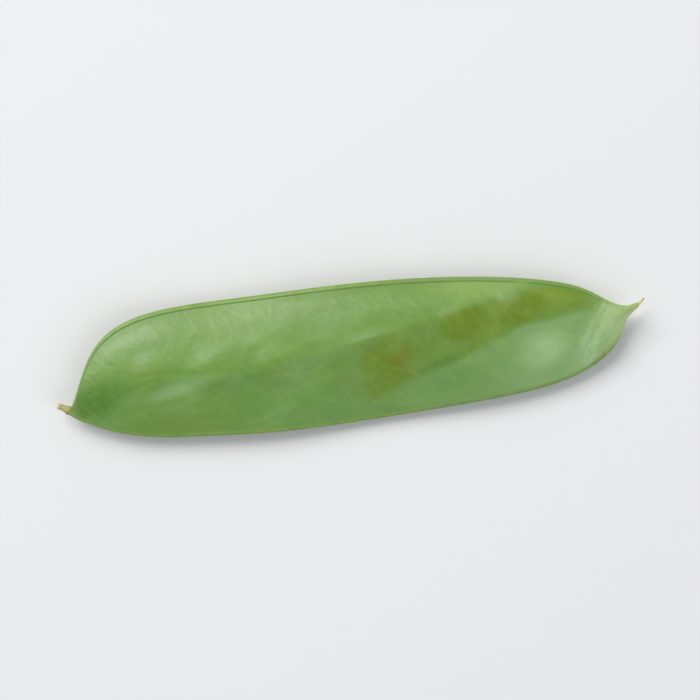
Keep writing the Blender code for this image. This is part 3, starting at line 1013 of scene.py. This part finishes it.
def pod_material():
    skin = PodSkin()
    skin.lay_wall()
    skin.lay_seeds()
    skin.lay_wax_and_painted_light()
    skin.lay_veins_and_tissue()
    skin.lay_rims()
    skin.lay_ends()
    skin.lay_rust()
    skin.set_surface()
    return skin.material


def stalk_material(name, near, far, tip, length):
    """Dry plant tissue: fibres along it, changing from near through far to the colour of its tip."""
    n = Nodes(name)
    here = n.attribute("stalk_mm", "Vector")
    along = n.split(here)[0]
    share = n.math("DIVIDE", along, length)
    fibre = n.noise(n.stretch(here, 3.0), size=0.16, detail=4, roughness=0.65, distortion=0.4)
    shade = n.mix(n.span(share, 0.05, 0.45), near, far)
    shade = n.mix(n.span(n.add(share, n.multiply(fibre, 0.3)), 0.95, 1.2), shade, tip)
    shade = n.mix(n.span(fibre, 0.5, 0.75, 0, 0.3), shade, CHAR)
    shade = n.mix(n.span(fibre, 0.5, 0.25, 0, 0.35), shade, STRAW)
    n.set(
        Base_Color=shade,
        Roughness=n.span(fibre, 0.3, 0.7, 0.85, 0.65),
        Normal=n.bump(fibre, STALK_BUMP * MM, 0.8),
        Specular_IOR_Level=0.3,
    )
    return n.material


def settle(piece, node):
    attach(piece, "root")
    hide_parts(node)


def make_pod(ventral, dorsal):
    """Makes the pod, pressed flat where it rests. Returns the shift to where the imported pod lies."""
    rings, attributes = round_ends(*pod_sections(ventral, dorsal))
    floor = rings[..., 2].min() + RESTING_DEPTH
    rings[..., 2] = np.maximum(rings[..., 2], floor)
    attributes["pod_mm"] = rings
    low, high = (np.array(corner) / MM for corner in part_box("pod"))
    own_low, own_high = rings.reshape(-1, 3).min(axis=0), rings.reshape(-1, 3).max(axis=0)
    shift = (low + high) / 2 - (own_low + own_high) / 2
    shift[2] = -floor
    pod = skin_mesh("pod_body", rings, pod_material(), shift, attributes)
    settle(pod, "pod")
    return shift


def make_stub(ventral, dorsal, shift):
    rings, local = snap_end(*stalk_rings(STUB, *end_of(ventral, dorsal, 0)))
    bark = stalk_material("stub_bark", BUD, BARK, CREAM, STUB["length"])
    stub = skin_mesh("stem_stub_snapped", rings, bark, shift, {"stalk_mm": local})
    settle(stub, "stem_stub")


def make_style(ventral, dorsal, shift):
    rings, local = stalk_rings(STYLE, *end_of(ventral, dorsal, -1))
    straw = stalk_material("style_straw", PALE, STRAW, CHAR, STYLE["length"])
    style = skin_mesh("dried_style_thread", rings, straw, shift, {"stalk_mm": local})
    settle(style, "dried_style")


def make_object():
    ventral, dorsal = suture_points(STATIONS)
    shift = make_pod(ventral, dorsal)
    make_stub(ventral, dorsal, shift)
    make_style(ventral, dorsal, shift)


def make_floor():
    mesh = bpy.data.meshes.new("floor")
    side, below = FLOOR_REACH, -FLOOR_GAP * MM
    corners = [(-side, -side, below), (side, -side, below), (side, side, below), (-side, side, below)]
    mesh.from_pydata(corners, [], [(0, 1, 2, 3)])
    n = Nodes("floor_paint")
    n.set(Base_Color=FLOOR_PAINT, Roughness=0.9, Specular_IOR_Level=0.2)
    mesh.materials.append(n.material)
    floor = bpy.data.objects.new("floor", mesh)
    bpy.context.collection.objects.link(floor)


def area_light(name, azimuth, elevation, distance, size, power, tint):
    """A soft square light that looks at the pod from a compass direction and a height in degrees."""
    data = bpy.data.lights.new(name, "AREA")
    data.shape = "SQUARE"
    data.size = size
    data.energy = power
    data.color = tint
    light = bpy.data.objects.new(name, data)
    a, e = math.radians(azimuth), math.radians(elevation)
    direction = Vector((math.cos(a) * math.cos(e), math.sin(a) * math.cos(e), math.sin(e)))
    light.location = direction * distance
    light.rotation_euler = (-light.location).to_track_quat("-Z", "Y").to_euler()
    bpy.context.collection.objects.link(light)


def make_lights():
    area_light("key", **KEY_LIGHT)
    area_light("fill", **FILL_LIGHT)
    world = bpy.data.worlds.new("studio")
    world.use_nodes = True
    background = world.node_tree.nodes["Background"]
    background.inputs["Color"].default_value = SKY_COLOUR
    background.inputs["Strength"].default_value = SKY_STRENGTH
    bpy.context.scene.world = world
    bpy.context.scene.view_settings.view_transform = "Standard"


def make_camera():
    """Straight above the pod, turned so that the pod rises to the right."""
    low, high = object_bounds()
    reach = (high[0] - low[0]) / FRAME_SHARE
    data = bpy.data.cameras.new("camera")
    data.lens = LENS
    data.sensor_width = SENSOR
    camera = bpy.data.objects.new("camera", data)
    camera.location = ((low[0] + high[0]) / 2, (low[1] + high[1]) / 2, high[2] + reach * LENS / SENSOR)
    camera.rotation_euler = (0, 0, -POD_SLOPE)
    bpy.context.collection.objects.link(camera)
    bpy.context.scene.camera = camera


make_camera()
make_object()
make_floor()
make_lights()
